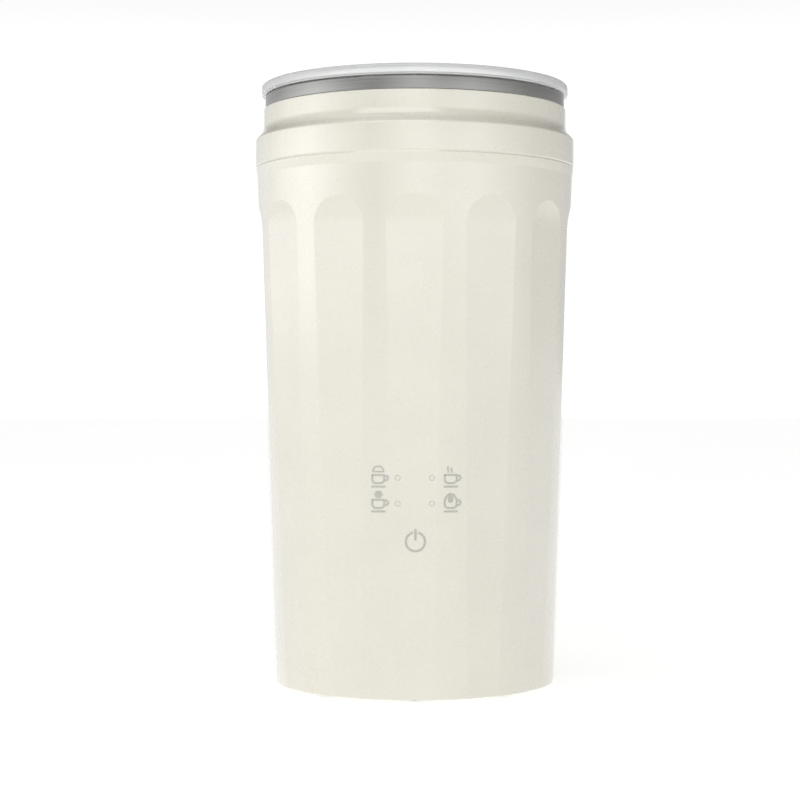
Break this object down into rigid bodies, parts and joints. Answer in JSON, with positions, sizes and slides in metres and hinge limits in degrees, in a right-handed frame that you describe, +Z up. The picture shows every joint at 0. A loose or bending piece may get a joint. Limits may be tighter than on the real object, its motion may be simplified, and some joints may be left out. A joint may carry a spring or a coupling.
{
  "type": "milk frother",
  "caption": "Tall fluted electric milk frother that warms and froths milk in a steel cup with a magnet-driven whisk under a clear lid.",
  "frame": {"origin": "centre of the footprint on the surface it stands on", "axes": "+Z up along the body's axis, -Y towards the front with the touch symbols, +X to the right seen from the front"},
  "size_m": [0.1, 0.0998, 0.187],
  "materials": {
    "cream_plastic": "fine satin moulded",
    "clear_lid": "clear moulded",
    "light_pipe": "milky clear",
    "cup_steel": "circular brushed",
    "bright_steel": "drawn and plated",
    "silicone": "matte translucent white",
    "black_rubber": "matte",
    "black_plastic": "fine spark-eroded",
    "white_plastic": "plain moulded",
    "circuit_board": "green lacquered",
    "aluminium": "as extruded",
    "brass": "turned",
    "magnet": "nickel plated",
    "armature_core": "lacquered copper and laminations"
  },
  "bodies": {
    "housing": {"inner_cup": "cup_steel", "cup_gasket": "silicone", "spindle_pin": "bright_steel", "cup_seat": "cream_plastic", "fluted_body": "cream_plastic", "light_pipe_1": "light_pipe", "light_pipe_2": "light_pipe", "light_pipe_3": "light_pipe", "light_pipe_4": "light_pipe", "indicator_led_1": "white_plastic", "indicator_led_2": "white_plastic", "indicator_led_3": "white_plastic", "indicator_led_4": "white_plastic", "touch_spring_1": "bright_steel", "touch_spring_2": "bright_steel", "touch_spring_3": "bright_steel", "touch_spring_4": "bright_steel", "touch_spring_5": "bright_steel", "control_board": "circuit_board", "board_cable": "white_plastic", "bottom_cover": "cream_plastic", "foot_1": "black_rubber", "foot_2": "black_rubber", "foot_3": "black_rubber", "foot_4": "black_rubber", "base_screw_1": "bright_steel", "base_screw_2": "bright_steel", "base_screw_3": "bright_steel", "base_screw_4": "bright_steel", "power_inlet": "black_plastic", "inlet_pin_1": "brass", "inlet_pin_2": "brass", "inlet_pin_3": "brass", "power_board": "circuit_board", "relay": "black_plastic", "filter_capacitor": "white_plastic", "motor_chassis": "white_plastic", "motor_can": "bright_steel", "motor_end_cap": "black_plastic", "motor_damper": "black_rubber", "motor_screw_1": "bright_steel", "motor_screw_2": "bright_steel", "heater_plate": "aluminium", "heating_element": "aluminium", "thermal_cutout": "black_plastic", "temperature_sensor": "bright_steel", "heater_lead": "silicone"},
    "lid": {"lid": "clear_lid", "lid_seal": "silicone"},
    "rotor": {"motor_armature": "armature_core", "motor_shaft": "bright_steel", "drive_disc": "white_plastic", "drive_magnet_1": "magnet", "drive_magnet_2": "magnet"},
    "whisk_carrier": {"whisk_bush": "brass"},
    "whisk": {"whisk_hub": "black_plastic", "whisk_magnet_1": "magnet", "whisk_magnet_2": "magnet", "whisk_grip": "black_plastic", "whisk_coil": "bright_steel"}
  },
  "joints": [
    {"name": "lid_lift", "type": "slide", "parent": "housing", "child": "lid", "axis": [0, 0, 1], "range_m": [0, 0.05]},
    {"name": "motor_spin", "type": "hinge", "parent": "housing", "child": "rotor", "pos_m": [0, 0, 0.06], "axis": [0, 0, 1], "continuous": true},
    {"name": "whisk_lift", "type": "slide", "parent": "housing", "child": "whisk_carrier", "axis": [0, 0, 1], "range_m": [0, 0.045]},
    {"name": "whisk_spin", "type": "hinge", "parent": "whisk_carrier", "child": "whisk", "pos_m": [0, 0, 0.095], "axis": [0, 0, 1], "continuous": true}
  ],
  "couplings": [
    {"joint": "whisk_spin", "follows": "motor_spin", "ratio": 1}
  ]
}
